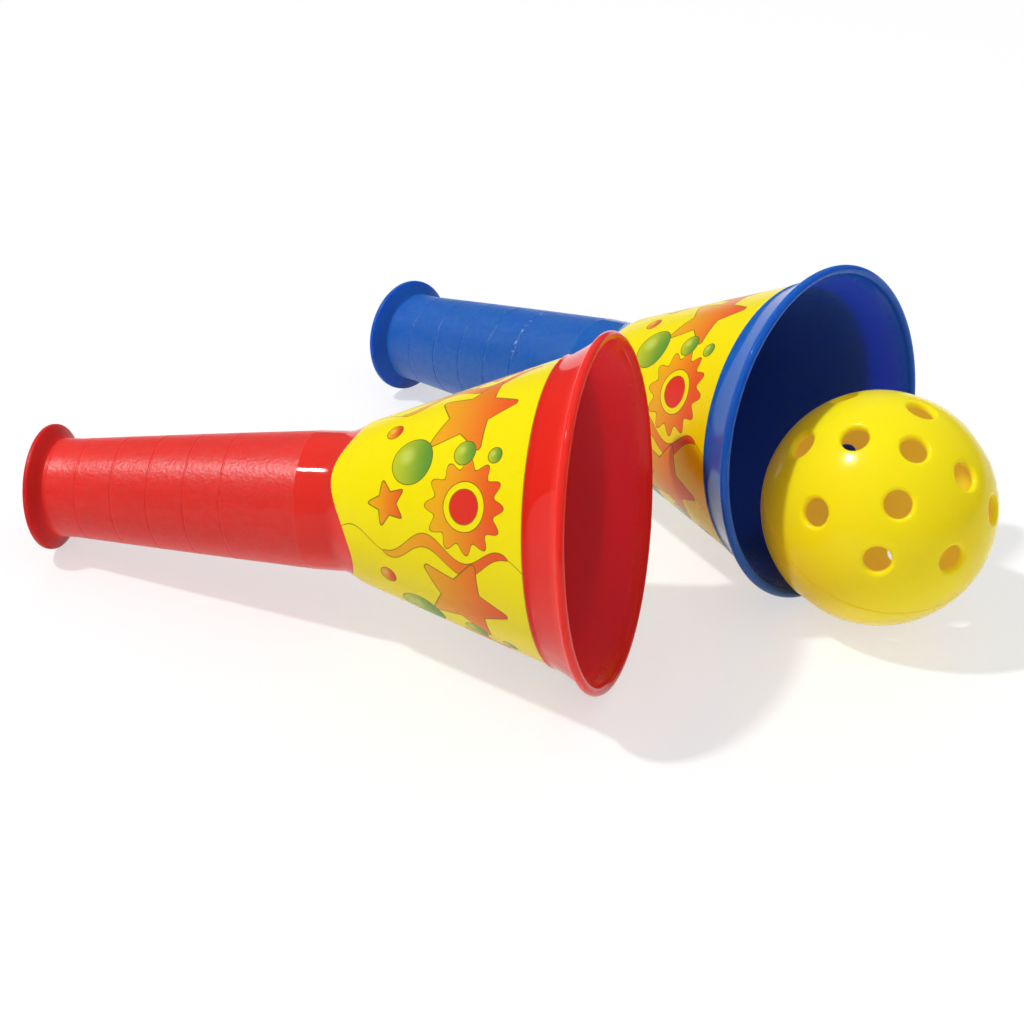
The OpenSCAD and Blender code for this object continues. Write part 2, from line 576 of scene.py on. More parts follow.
@dataclass(frozen=True)
class Handling:
    """How smooth a glossy surface is, and what handling left on it.

    Attributes:
        gloss: Roughness of the clean surface.
        smudge: How much rougher a smudge is.
        ripple: Height of its ripples, in mm.
        scratch: Depth of its scratches, in mm.
    """

    gloss: float
    smudge: float
    ripple: float
    scratch: float

    def roughness(self, nodes: Nodes, marks: bpy.types.NodeOutputs) -> Socket:
        """Roughness of the handled surface, from the outputs of the handling marks."""
        return nodes.total(nodes.product(marks["Smudge"], self.smudge), self.gloss)

    def height(self, nodes: Nodes, marks: bpy.types.NodeOutputs) -> Socket:
        """Height of its ripples and scratches in mm, from the outputs of the handling marks."""
        return nodes.total(
            nodes.product(marks["Scratch"], -self.scratch), nodes.product(marks["Mottle"], self.ripple)
        )


@dataclass(frozen=True)
class MouldedPlastic:
    """Glossy moulded plastic whose grip carries a fine spark-eroded texture.

    Attributes:
        name: Name of the material.
        colour: Colour of the pigment.
        deep: Darker colour in a random mottle and in streaks of the flow.
        scuffed: Colour of fine pale scuffs along the grooves.
        scuffs: Strength of those scuffs.
        ring_shade: Darker colour painted on the ring as painted shade, where its face looks away from the key
            light.
        brim: Colour of the band and the flare.
        inner: Brighter colour painted on the inner side from the lip back into the cone, as painted light.
        reach: How far light of each colour goes through the plastic, as a share of its longest reach.
        longest_reach: That longest reach, in mm.
        streaks: Strength of the flow's streaks.
        mottle: Strength of the mottle in the colour.
        handling: Gloss of the smooth stretches, and what handling left everywhere.
        matte: Roughness of the grip and of the inner side, in smooth and in worn patches.
        sheen: Strength of the sheen on the grip, in smooth and in worn patches.
        sheen_rough: Roughness of that sheen.
        grain: Height of the texture's fine grain, in mm.
        pebble: Height of its coarser pebble, in mm.
    """

    name: str
    colour: Colour
    deep: Colour
    scuffed: Colour
    scuffs: float
    ring_shade: Colour
    brim: Colour
    inner: Colour
    reach: Colour
    longest_reach: float = 5.0
    streaks: float = 0.35
    mottle: float = 0.12
    handling: Handling = Handling(gloss=0.05, smudge=0.04, ripple=0.012, scratch=0.006)
    matte: tuple[float, float] = (0.36, 0.52)
    sheen: tuple[float, float] = (0.22, 0.62)
    sheen_rough: float = 0.34
    grain: float = 0.012
    pebble: float = 0.12

    def build(self, effects: Effects, sizes: "HornSizes") -> Nodes:
        """Builds the material on the horn's Wrap map, whose v is the station, and is over 1 inside.

        Args:
            effects: The shared node groups.
            sizes: The horn's sizes.

        Returns:
            The node helper of the material.
        """
        nodes, shader = new_material(self.name)
        place = nodes.add("ShaderNodeTexCoord").outputs["Object"]
        wrap = nodes.add("ShaderNodeUVMap", uv_map="Wrap").outputs[0]
        station = nodes.product(nodes.split(wrap)[1], sizes.length)
        marks = nodes.group(effects.wear, Vector=place)
        soft = 0.25
        textured = nodes.product(
            nodes.between(station, sizes.texture_from - soft, sizes.texture_from + soft),
            nodes.between(station, sizes.texture_to + soft, sizes.texture_to - soft),
        )
        patch = nodes.between(nodes.noise(place, scale=420.0, detail=4.0, rough=0.7), 0.35, 0.7)
        inside = nodes.between(station, sizes.length + 0.5, sizes.length + 6.0)

        colour = nodes.blend(self._streak(nodes, wrap, textured), self.colour, self.deep)
        colour = nodes.blend(nodes.product(marks["Mottle"], self.mottle), colour, self.deep)
        colour = nodes.blend(self._scuffing(nodes, place, station, sizes), colour, self.scuffed)
        # Painted shade on the ring and painted light on the inner side of the mouth.
        colour = self._paint_shade_and_light(nodes, colour, station, inside, sizes)
        nodes.feed(shader.inputs["Base Color"], colour)

        grip_start = nodes.between(station, sizes.texture_from + 0.5, sizes.texture_from)
        dull = nodes.math("MAXIMUM", nodes.math("MAXIMUM", textured, grip_start), inside)
        rough = nodes.add("ShaderNodeMix", data_type="FLOAT")
        matte = nodes.total(nodes.product(patch, self.matte[1] - self.matte[0]), self.matte[0])
        for index, value in ((0, dull), (2, self.handling.roughness(nodes, marks)), (3, matte)):
            nodes.feed(rough.inputs[index], value)
        nodes.feed(shader.inputs["Roughness"], rough.outputs[0])

        fine = nodes.noise(place, scale=2300.0, detail=2.0, rough=0.6)
        coarse = nodes.noise(place, scale=1000.0, detail=2.0, rough=0.5)
        texture = nodes.total(
            nodes.product(fine, textured, self.grain), nodes.product(coarse, textured, self.pebble)
        )
        normal = nodes.relief(shader, nodes.total(texture, self.handling.height(nodes, marks)))
        sheen = nodes.total(nodes.product(patch, self.sheen[1] - self.sheen[0]), self.sheen[0])
        nodes.fill(shader, Coat_Weight=nodes.product(sheen, textured), Coat_Normal=normal)
        nodes.fill(shader, Coat_Roughness=self.sheen_rough, IOR=1.49, Specular_IOR_Level=0.2)
        nodes.fill(shader, Subsurface_Weight=0.9, Subsurface_Radius=self.reach)
        nodes.fill(shader, Subsurface_Scale=self.longest_reach * MM)
        return nodes

    def _streak(self, nodes: Nodes, wrap: Socket, textured: Socket) -> Socket:
        """Streaks that the plastic's flow left along the grip.

        Args:
            nodes: The helper of the material.
            wrap: The Wrap map.
            textured: 1 on the grip's texture.

        Returns:
            Their strength.
        """
        flow = nodes.fill(nodes.add("ShaderNodeMapping"), Vector=wrap, Scale=(60.0, 5.0, 1.0))
        streak = nodes.noise(flow.outputs[0], scale=1.6, detail=3.0, rough=0.6)
        return nodes.product(nodes.between(streak, 0.35, 0.8), self.streaks, textured)

    def _scuffing(self, nodes: Nodes, place: Socket, station: Socket, sizes: "HornSizes") -> Socket:
        """Fine pale chips along the grooves, nearly all of them on the last one.

        Args:
            nodes: The helper of the material.
            place: Coordinates in metres.
            station: The station.
            sizes: The horn's sizes.

        Returns:
            Their strength.
        """
        elsewhere = 0.15
        near = 0.0
        for groove in sizes.grooves:
            away = nodes.math("ABSOLUTE", nodes.math("SUBTRACT", station, groove))
            near = nodes.math("MAXIMUM", near, nodes.between(away, 0.9, 0.3))
        last = nodes.between(station, sizes.grooves[-1] - 6.0, sizes.grooves[-1] - 1.0)
        worn = nodes.product(near, nodes.total(nodes.product(last, 1 - elsewhere), elsewhere))
        chips = nodes.between(nodes.noise(place, scale=900.0, detail=2.0, rough=0.6), 0.55, 0.66)
        return nodes.math("MULTIPLY", nodes.product(worn, chips), self.scuffs, clamp=True)

    def _paint_shade_and_light(
        self, nodes: Nodes, colour: Socket, station: Socket, inside: Socket, sizes: "HornSizes"
    ) -> Socket:
        """Paints shade on the ring and light on the inner side of the mouth, and gives the band and the flare
        their own tone.

        Args:
            nodes: The helper of the material.
            colour: The colour so far.
            station: The station.
            inside: 1 on the inner side.
            sizes: The horn's sizes.

        Returns:
            The toned colour.
        """
        # Painted shade: the ring is darkened, where its face looks away from the key light.
        ring = nodes.between(station, sizes.ring_length + 1.5, sizes.ring_length - 1.5)
        brim = nodes.product(
            nodes.between(station, sizes.cone_end - 0.5, sizes.cone_end + 0.5),
            nodes.between(station, sizes.length - sizes.lip, sizes.length - 2 * sizes.lip),
        )
        # Painted light: the inner side is brightened from the lip back into the cone, and fades to the plain
        # colour deep in the grip.
        mouth = nodes.between(station, sizes.length + 110.0, sizes.length + 70.0)
        colour = nodes.blend(ring, colour, self.ring_shade)
        colour = nodes.blend(brim, colour, self.brim)
        return nodes.blend(nodes.product(inside, mouth), colour, self.inner)


class Print:
    """The print on a label as it grows, one outlined shape over another.

    A phase is a turn about the cone in repeats, and a middle is a distance from the cone's apex in mm.
    """

    def __init__(self, nodes: Nodes, effects: Effects, film: "PrintedFilm", sizes: "HornSizes") -> None:
        """Starts on the bare film.

        Args:
            nodes: The helper of the film's material.
            effects: The shared node groups.
            film: The film with its inks.
            sizes: The horn's sizes.
        """
        wrap = nodes.split(nodes.add("ShaderNodeUVMap", uv_map="Wrap").outputs[0])
        self.nodes, self.effects, self.film = nodes, effects, film
        self.around = wrap[0]
        self.slant = nodes.total(nodes.product(wrap[1], sizes.label_slant), sizes.label_apex)
        self.unrolled = 2 * math.pi * math.sin(sizes.cone_angle)
        self.colour = film.ground

    def spot(self, phase: float, middle: float) -> tuple[Socket, Socket]:
        """Coordinates about a motif.

        Args:
            phase: The motif's phase.
            middle: Its middle.

        Returns:
            X across and Y along the cone, in mm.
        """
        place = self.nodes.group(
            self.effects.cone_place,
            Around=self.around,
            Slant=self.slant,
            Repeats=self.film.repeats,
            Phase=phase,
            Middle=middle,
            Unrolled=self.unrolled,
        )
        return place["X"], place["Y"]

    def graded(self, y: Socket, reach: float, pale: Colour, deep: Colour) -> Socket:
        """An ink that deepens from pale to deep along a motif, whose reach is half its length."""
        return self.nodes.blend(self.nodes.between(y, -reach, reach), pale, deep)

    def lay(self, distance: Socket, colour: Colour | Socket, line: float) -> None:
        """Lays one outlined shape over what is printed so far.

        Args:
            distance: Distance to the shape's edge in mm, negative inside.
            colour: Its ink.
            line: Half the outline's width, in mm.
        """
        ink = self.nodes.group(self.effects.ink, Distance=distance, Line=line)
        outline = self.nodes.product(ink["Outline"], self.film.line_strength)
        self.colour = self.nodes.blend(ink["Fill"], self.colour, colour)
        self.colour = self.nodes.blend(outline, self.colour, self.film.line)

    def disc(self, phase: float, middle: float, reach: float, pale: Colour, deep: Colour) -> None:
        """Prints round spots with a lighter glow.

        Args:
            phase: Their phase.
            middle: Their middle.
            reach: Their radius, in mm.
            pale: Paler colour.
            deep: Deeper colour.
        """
        nodes = self.nodes
        x, y = self.spot(phase, middle)
        edge = nodes.math("SUBTRACT", nodes.hypot(x, y), reach)
        self.lay(edge, self.graded(y, reach, pale, deep), self.film.fine_line)
        from_glow = nodes.hypot(nodes.total(x, 0.25 * reach), nodes.total(y, 0.3 * reach))
        glow = nodes.product(nodes.between(from_glow, 0.55 * reach, 0.1 * reach), 0.35)
        self.colour = nodes.blend(glow, self.colour, self.film.glow)

    def star(self, phase: float, middle: float, reach: float, turn: float) -> None:
        """Prints stars.

        Args:
            phase: Their phase.
            middle: Their middle.
            reach: Distance of their tips, in mm.
            turn: Their own turn, in degrees.
        """
        x, y = self.spot(phase, middle)
        shape = self.nodes.group(self.effects.star, X=x, Y=y, Reach=reach, Turn=math.radians(turn))
        colour = self.graded(y, reach, self.film.amber, self.film.scarlet)
        self.lay(shape["Distance"], colour, self.film.broad_line)

    def streamer(
        self, phase: float, middle: float, reach: float, width: float, swing: float, bends: float
    ) -> None:
        """Prints winding streamers that run out to a point at both ends.

        Args:
            phase: Their phase.
            middle: Their middle.
            reach: Half their length, in mm.
            width: Half their width at the middle, in mm.
            swing: How far they wind to either side, in mm.
            bends: How fast they wind, in radians for a mm.
        """
        nodes = self.nodes
        x, y = self.spot(phase, middle)
        winding = nodes.product(nodes.math("SINE", nodes.product(y, bends)), swing)
        off_line = nodes.math("ABSOLUTE", nodes.math("SUBTRACT", x, winding))
        share = nodes.math("DIVIDE", nodes.math("ABSOLUTE", y), reach)
        left = nodes.math("MAXIMUM", nodes.math("SUBTRACT", 1.0, nodes.math("POWER", share, 2.0)), 0.0)
        edge = nodes.math("SUBTRACT", off_line, nodes.product(nodes.math("SQRT", left), width))
        self.lay(edge, self.graded(y, reach, self.film.amber, self.film.scarlet), self.film.fine_line)

    def sun(
        self, phase: float, middle: float, rays: float, ray: float, rings: tuple[float, float, float]
    ) -> None:
        """Prints suns with a ground-coloured ring about a red middle.

        Args:
            phase: Their phase.
            middle: Their middle.
            rays: Number of rays.
            ray: How far the rays swing out and in, in mm.
            rings: Radii of the sun, of its ring and of its middle, in mm.
        """
        nodes, film = self.nodes, self.film
        x, y = self.spot(phase, middle)
        far = nodes.hypot(x, y)
        turns = nodes.product(nodes.math("ARCTAN2", x, y), rays)
        rim = nodes.total(nodes.product(nodes.math("COSINE", turns), ray), rings[0])
        colour = self.graded(y, rings[0], film.amber, film.scarlet)
        self.lay(nodes.math("SUBTRACT", far, rim), colour, film.broad_line)
        self.lay(nodes.math("SUBTRACT", far, rings[1]), film.ground, film.fine_line)
        self.lay(nodes.math("SUBTRACT", far, rings[2]), film.red, film.fine_line)


@dataclass(frozen=True)
class PrintedFilm:
    """Yellow film printed with suns, stars, discs and streamers in outlined inks.

    Attributes:
        name: Name of the material.
        ground: Yellow of the film.
        amber: Paler end of the orange inks.
        scarlet: Deeper end of the orange inks.
        red: Red of the suns' middles.
        lime: Paler end of the green ink.
        green: Deeper end of the green ink.
        glow: Light spot on the discs.
        line: Colour of the outlines.
        line_strength: How well that colour covers.
        broad_line: Half the width of the outline round suns and stars, in mm.
        fine_line: Half the width of the other outlines, in mm.
        repeats: How often the pattern stands round the cone.
        phase: Turn of the first sun from the label's gap, in repeats.
        handling: Gloss of the film, and what handling left on it.
    """

    name: str
    ground: Colour = (0.92, 0.77, 0.002)
    amber: Colour = (0.86, 0.42, 0.012)
    scarlet: Colour = (0.82, 0.095, 0.018)
    red: Colour = (0.74, 0.035, 0.02)
    lime: Colour = (0.5, 0.56, 0.03)
    green: Colour = (0.11, 0.3, 0.035)
    glow: Colour = (0.8, 0.86, 0.2)
    line: Colour = (0.13, 0.1, 0.008)
    line_strength: float = 0.85
    broad_line: float = 0.17
    fine_line: float = 0.14
    repeats: int = 4
    phase: float = 0.69
    handling: Handling = Handling(gloss=0.22, smudge=0.1, ripple=0.015, scratch=0.005)

    def build(self, effects: Effects, sizes: "HornSizes") -> Nodes:
        """Builds the material on the label's Wrap map.

        Args:
            effects: The shared node groups.
            sizes: The horn's sizes.

        Returns:
            The node helper of the material.
        """
        nodes, shader = new_material(self.name)
        first = self.phase
        sheet = Print(nodes, effects, self, sizes)
        sheet.streamer(first + 0.25, middle=106.0, reach=22.0, width=2.1, swing=3.2, bends=0.24)
        sheet.sun(first, middle=113.0, rays=12.0, ray=1.5, rings=(12.0, 7.0, 4.9))
        sheet.star(first + 0.5, middle=110.5, reach=16.5, turn=0.0)
        sheet.star(first, middle=86.0, reach=7.4, turn=36.0)
        for phase, middle, reach in ((0.75, 93.5, 6.9), (0.74, 111.5, 3.6), (0.77, 122.0, 2.3)):
            sheet.disc(first + phase, middle, reach, self.lime, self.green)
        sheet.disc(first + 0.5, 84.5, 2.6, self.amber, self.red)

        # Painted shade: a dark line along the label's wide edge, where the step up to the band shades it.
        edge = sizes.label_apex + sizes.label_slant
        edge_shade = nodes.product(nodes.between(sheet.slant, edge - 0.4, edge), 0.8)
        nodes.feed(shader.inputs["Base Color"], nodes.blend(edge_shade, sheet.colour, self.line))
        marks = nodes.group(effects.wear, Vector=nodes.add("ShaderNodeTexCoord").outputs["Object"])
        nodes.relief(shader, self.handling.height(nodes, marks))
        nodes.fill(shader, Roughness=self.handling.roughness(nodes, marks), IOR=1.4, Specular_IOR_Level=0.18)
        return nodes


@dataclass(frozen=True)
class BallPlastic:
    """Soft yellow plastic that lets a little light through its thin shell.

    Attributes:
        name: Name of the material.
        colour: Colour of the plastic.
        deep: Colour in its flow marks.
        painted_glow_out: Glow painted on the outside of the shell, a stand-in for light that reaches its
            shaded side.
        painted_glow_in: Stronger glow painted on the inner side, a stand-in for light that comes through the
            shell and bounces inside.
        reach: How far light of each colour goes through the plastic, as a share of its longest reach.
        longest_reach: That longest reach, in mm.
        handling: Gloss of the ball, and what handling left on it.
    """

    name: str
    colour: Colour = (0.99, 0.82, 0.008)
    deep: Colour = (0.97, 0.76, 0.006)
    painted_glow_out: Colour = (0.1, 0.05, 0.002)
    painted_glow_in: Colour = (0.1, 0.055, 0.02)
    reach: Colour = (1.0, 0.8, 0.15)
    longest_reach: float = 4.5
    handling: Handling = Handling(gloss=0.16, smudge=0.06, ripple=0.02, scratch=0.006)

    def build(self, effects: Effects, middle: tuple[float, float, float], inner: float) -> Nodes:
        """Builds the material.

        Args:
            effects: The shared node groups.
            middle: The ball's centre, in mm.
            inner: Radius of its inner side, in mm.

        Returns:
            The node helper of the material.
        """
        nodes, shader = new_material(self.name)
        place = nodes.add("ShaderNodeTexCoord").outputs["Object"]
        from_middle = nodes.add("ShaderNodeVectorMath", operation="DISTANCE")
        for socket, value in zip(from_middle.inputs, (place, Vector(middle) * MM)):
            nodes.feed(socket, value)
        inside = nodes.between(from_middle.outputs["Value"], (inner + 0.9) * MM, (inner + 0.1) * MM)
        flow = nodes.between(nodes.noise(place, scale=24.0, detail=3.0, rough=0.5), 0.45, 0.85)
        marks = nodes.group(effects.wear, Vector=place)
        nodes.relief(shader, self.handling.height(nodes, marks))
        nodes.fill(shader, Base_Color=nodes.blend(flow, self.colour, self.deep))
        nodes.fill(shader, Roughness=self.handling.roughness(nodes, marks), IOR=1.4, Specular_IOR_Level=0.22)
        # Painted light: the shell glows, weaker outside and stronger on its inner side.
        nodes.fill(shader, Emission_Color=nodes.blend(inside, self.painted_glow_out, self.painted_glow_in))
        nodes.fill(shader, Emission_Strength=1.0, Subsurface_Weight=0.8, Subsurface_Radius=self.reach)
        nodes.fill(shader, Subsurface_Scale=self.longest_reach * MM)
        return nodes


# The catchers


@dataclass(frozen=True)
class HornSizes:
    """Sizes of one catcher, in mm; a station is the distance from the ring's flat end.

    Attributes:
        length: Length over all.
        mouth: Diameter over the mouth lip.
        wall: Thickness of the wall.
        lip: Thickness of the round bead along the lip.
        cone_narrow: Outer diameter of the cone at its shoulder.
        cone_wide: Outer diameter of the cone where the label stops.
        cone_length: Length of the cone.
        band: Outer diameter of the raised band past the label.
        band_length: Length of the raised band.
        lip_flare: Length of the flare from the band to the front of the lip.
        lip_turn: Angle between the axis and the flare where it meets the bead, in degrees.
        shoulder: Length of the shoulder between grip and cone.
        grip_thin: Outer diameter of the grip at its thin end.
        grip_thick: Outer diameter of the grip at the shoulder.
        grip_swell: How far the middle of the grip swells beyond a straight taper.
        groove_count: Number of fine grooves.
        groove_start: Station of the first groove.
        groove_pitch: Distance between grooves.
        groove_width: Width of a groove.
        groove_depth: Depth of a groove.
        ring: Diameter over the ring.
        ring_rim: Thickness of the ring at its rim.
        ring_round: Radius of the rim's rounded edges.
        ring_length: Station where the ring's sloping back meets the grip.
        ring_flat: Width of the ring's flat end.
        bore: Length of the straight bore in the thin end.
        straight: Station where that bore ends and the grip's taper starts.
        texture_from: Station where the grip's texture starts.
        texture_to: Station where it stops, at the gloss collar.
        collar_slope: Slope of the gloss collar, in degrees.
        collar_end: Station where the collar starts to open into the cone.
        collar_step: How far the collar stands over the grip.
        collar_edge: Length of the step up to it.
        film: Thickness of the label.
        film_lift: How far the label's inner side clears the cone.
        label_start: Station of the label's narrow edge at its crests.
        wave_depth: Depth of the waves in that edge.
        wave_count: Number of waves.
        wave_turn: Turn of the first hollow from the underside, in degrees.
        gap: Width of the gap between the label's ends.
        sides: Sides of each circle in the mesh.
    """

    length: float = 176.0
    mouth: float = 104.3
    wall: float = 1.8
    lip: float = 2.8
    cone_narrow: float = 47.4
    cone_wide: float = 88.9
    cone_length: float = 58.4
    band: float = 90.4
    band_length: float = 1.4
    lip_flare: float = 12.2
    lip_turn: float = 33.0
    shoulder: float = 9.5
    grip_thin: float = 30.0
    grip_thick: float = 41.8
    grip_swell: float = 0.15
    groove_count: int = 5
    groove_start: float = 15.3
    groove_pitch: float = 12.0
    groove_width: float = 0.8
    groove_depth: float = 0.15
    ring: float = 38.2
    ring_rim: float = 1.8
    ring_round: float = 0.6
    ring_length: float = 4.4
    ring_flat: float = 1.5
    bore: float = 7.0
    straight: float = 10.0
    texture_from: float = 5.6
    texture_to: float = 87.0
    collar_slope: float = 1.0
    collar_end: float = 96.6
    collar_step: float = 0.12
    collar_edge: float = 0.15
    film: float = 0.2
    film_lift: float = 0.015
    label_start: float = 98.2
    wave_depth: float = 6.6
    wave_count: int = 3
    wave_turn: float = 43.0
    gap: float = 1.0
    sides: int = 168

    @property
    def band_end(self) -> float:
        """Station where the lip's flare starts."""
        return self.length - self.lip_flare

    @property
    def cone_end(self) -> float:
        """Station of the cone's wide end."""
        return self.band_end - self.band_length

    @property
    def cone_start(self) -> float:
        """Station of the cone's narrow end."""
        return self.cone_end - self.cone_length

    @property
    def grip_end(self) -> float:
        """Station where the shoulder starts."""
        return self.cone_start - self.shoulder

    @property
    def cone_angle(self) -> float:
        """Angle between the cone's wall and its axis, in radians."""
        return math.atan((self.cone_wide - self.cone_narrow) / 2 / self.cone_length)

    @property
    def grooves(self) -> list[float]:
        """Station of the middle of each groove."""
        return [self.groove_start + index * self.groove_pitch for index in range(self.groove_count)]

    @property
    def label_apex(self) -> float:
        """Distance along the wall from the cone's apex to the label's narrow edge."""
        narrow_end = self.cone_narrow / 2 / math.sin(self.cone_angle)
        return narrow_end - (self.cone_start - self.label_start) / math.cos(self.cone_angle)

    @property
    def label_slant(self) -> float:
        """Length of the label along the wall."""
        return (self.cone_end - self.label_start) / math.cos(self.cone_angle)

    @property
    def lip_centre(self) -> Point:
        """Centre of the lip's bead."""
        return self.mouth / 2 - self.lip / 2, self.length - self.lip / 2

    @property
    def ring_centre(self) -> Point:
        """Centre of the rounding at the ring's flat end."""
        return self.ring / 2 - self.ring_round, self.ring_round

    def grip_radius(self, station: float) -> float:
        """Outer radius of the grip.

        Args:
            station: Distance from the ring's flat end.

        Returns:
            The radius in mm.
        """
        share = max(0.0, station - self.straight) / (self.grip_end - self.straight)
        swell = 4 * self.grip_swell * share * (1 - share)
        return self.grip_thin / 2 + (self.grip_thick - self.grip_thin) / 2 * share + swell

    def cone_radius(self, station: float) -> float:
        """Outer radius of the cone at a station, in mm."""
        return self.cone_narrow / 2 + math.tan(self.cone_angle) * (station - self.cone_start)

    def along_cone(self, first: int, last: int, count: int, inwards: float = 0.0) -> list[Point]:
        """Points on the cone's straight side.

        Args:
            first: Number of the first point, counted from the shoulder.
            last: Number of the last point.
            count: How many equal parts the side has.
            inwards: How far inside the outer side, measured across the axis.

        Returns:
            The points, in mm.
        """
        step = 1 if last >= first else -1
        stations = [self.cone_start + self.cone_length * k / count for k in range(first, last + step, step)]
        return [(self.cone_radius(at) - inwards, at) for at in stations]

    def ring_side(self) -> list[Point]:
        """Rim of the ring, rounded at both edges, and its sloping back up to the grip.

        Returns:
            The points, in mm.
        """
        back = (self.ring_centre[0], self.ring_rim - self.ring_round)
        over = (self.grip_thin / 2 - back[0], self.ring_length - back[1])
        slope = math.atan2(over[1], over[0]) - math.acos(self.ring_round / math.hypot(*over))
        points = arc(self.ring_centre, self.ring_round, start=-90, stop=0, steps=10)
        points += arc(back, self.ring_round, start=0, stop=math.degrees(slope), steps=8)
        return points + [(self.grip_thin / 2, self.ring_length), (self.grip_thin / 2, self.straight)]

    def grip_side(self) -> list[Point]:
        """Side of the grip with its fine grooves, whose edges are a little rounded.

        Returns:
            The points, in mm.
        """
        # Half a groove from its edge inwards, as shares of its half width and of its depth
        edge = [(1.0, 0.0), (0.72, 0.55), (0.4, 1.0)]
        groove = [(-across, deep) for across, deep in edge] + edge[::-1]
        points = []
        for middle in self.grooves:
            for across, deep in groove:
                at = middle + across * self.groove_width / 2
                points.append((self.grip_radius(at) - deep * self.groove_depth, at))
        return points

    def shoulder_side(self) -> list[Point]:
        """Outer side of the gloss collar and of the shoulder, which the collar bends into.

        Returns:
            The points, in mm.
        """
        parts = 4
        knee_ahead, knee_out = 3.0, 0.1
        slope = math.tan(math.radians(self.collar_slope))
        foot = self.grip_radius(self.texture_to)
        start = self.texture_to + self.collar_edge
        stations = [start + k * (self.collar_end - start) / parts for k in range(parts + 1)]
        points = [(foot, self.texture_to)]
        points += [(foot + self.collar_step + slope * (at - self.texture_to), at) for at in stations]
        last = points.pop()
        knee = (last[0] + slope * knee_ahead + knee_out, last[1] + knee_ahead)
        return points + bend(last, knee, (self.cone_narrow / 2, self.cone_start), steps=16)

    def mouth_side(self) -> list[Point]:
        """Raised band, flare and the bead of the lip, round to its inner side.

        Returns:
            The points, in mm.
        """
        band, lip = self.band / 2, self.lip / 2
        step, edge = 0.5, 0.1
        turn = math.tan(math.radians(self.lip_turn))
        bead = arc(self.lip_centre, lip, start=-95, stop=180, steps=36)
        knee = (band + step, bead[0][1] - (bead[0][0] - band - step) / turn)
        cone_edge = (self.cone_wide / 2, self.cone_end)
        points = bend(cone_edge, (band, self.cone_end + edge), (band, self.cone_end + step), steps=6)
        return points + bend((band, self.band_end), knee, bead[0], steps=16) + bead

    def inner_side(self) -> list[Point]:
        """Inner wall from the bead back to the ring's flat end.

        Returns:
            The points, in mm.
        """
        across = self.wall / math.cos(self.cone_angle)
        low, knee = self.cone_end - 5.4, self.cone_end + 3.9
        start, stop = self.cone_start + 3.0, self.grip_end - 2.0
        shoulder_out, shoulder_ahead = 0.35, 6.0
        points = bend(
            (self.lip_centre[0] - self.lip / 2, self.lip_centre[1]),
            (self.cone_radius(knee) - across, knee),
            (self.cone_radius(low) - across, low),
            steps=24,
        )
        points += self.along_cone(5, 1, 6, across)
        points += bend(
            (self.cone_radius(start) - across, start),
            (self.grip_thick / 2 + shoulder_out - self.wall, self.grip_end + shoulder_ahead),
            (self.grip_radius(stop) - self.wall, stop),
            steps=14,
        )
        narrow = self.grip_thin / 2 - self.wall
        points += [(self.grip_radius(at) - self.wall, at) for at in (70.0, 45.0, 25.0)]
        points += [(narrow, self.straight), (narrow, self.straight - self.bore)]
        return points + [(self.ring_centre[0] - self.ring_flat, 0.0)]

    def section(self) -> list[Point]:
        """The moulding's whole closed section: outside from ring to lip, then inside back to the ring.

        Returns:
            Its points, in mm.
        """
        points = self.ring_side() + self.grip_side() + self.shoulder_side()
        points += self.along_cone(1, 5, 6)
        return points + self.mouth_side() + self.inner_side()

    def rest(self) -> tuple[float, float]:
        """How the catcher lies: on the rim of its ring and the bead of its lip.

        Returns:
            The lean of its axis in degrees, and the height of its axis at the ring, in mm.
        """
        along = self.lip_centre[1] - self.ring_centre[1]
        out = self.lip_centre[0] - self.ring_centre[0]
        lean = math.atan2(out, along) + math.asin((self.lip / 2 - self.ring_round) / math.hypot(along, out))
        height = self.ring_round + self.ring_centre[0] * math.cos(lean) - self.ring_centre[1] * math.sin(lean)
        return math.degrees(lean), height


